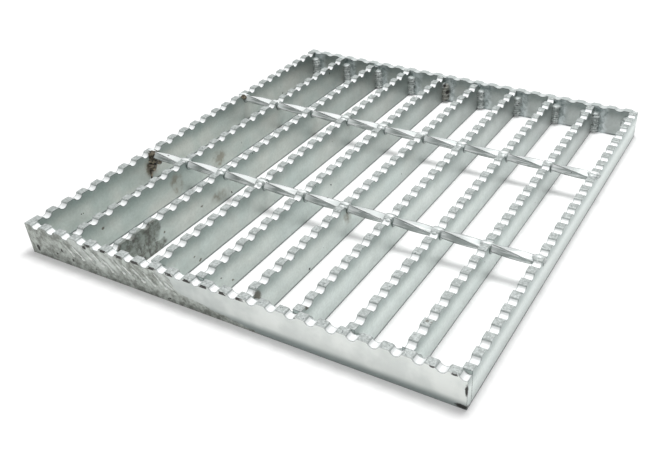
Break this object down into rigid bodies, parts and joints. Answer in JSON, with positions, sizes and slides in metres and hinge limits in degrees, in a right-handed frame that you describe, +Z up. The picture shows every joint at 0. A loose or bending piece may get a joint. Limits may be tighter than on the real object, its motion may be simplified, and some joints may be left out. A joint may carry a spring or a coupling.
{
  "type": "steel grating panel",
  "caption": "Flat galvanised steel grating panel: serrated bearing bars on edge, twisted square cross rods forged into their tops, and a serrated bar across each end.",
  "frame": {"origin": "middle of the underside, on the plane that the panel rests on", "axes": "+X across the bearing bars, along the cross rods; +Y along the bearing bars, from the front end bar to the back one; +Z up, towards the toothed tread"},
  "size_m": [0.275, 0.3, 0.02],
  "materials": {
    "galvanised_steel": "hot-dip galvanised, mottled, half gloss",
    "weld_metal": "galvanised weld bead, rough and dull"
  },
  "bodies": {
    "root": {"welded_grid": "galvanised_steel", "front_end_bar": "galvanised_steel", "back_end_bar": "galvanised_steel", "front_weld_beads": "weld_metal", "back_weld_beads": "weld_metal"}
  },
  "joints": []
}
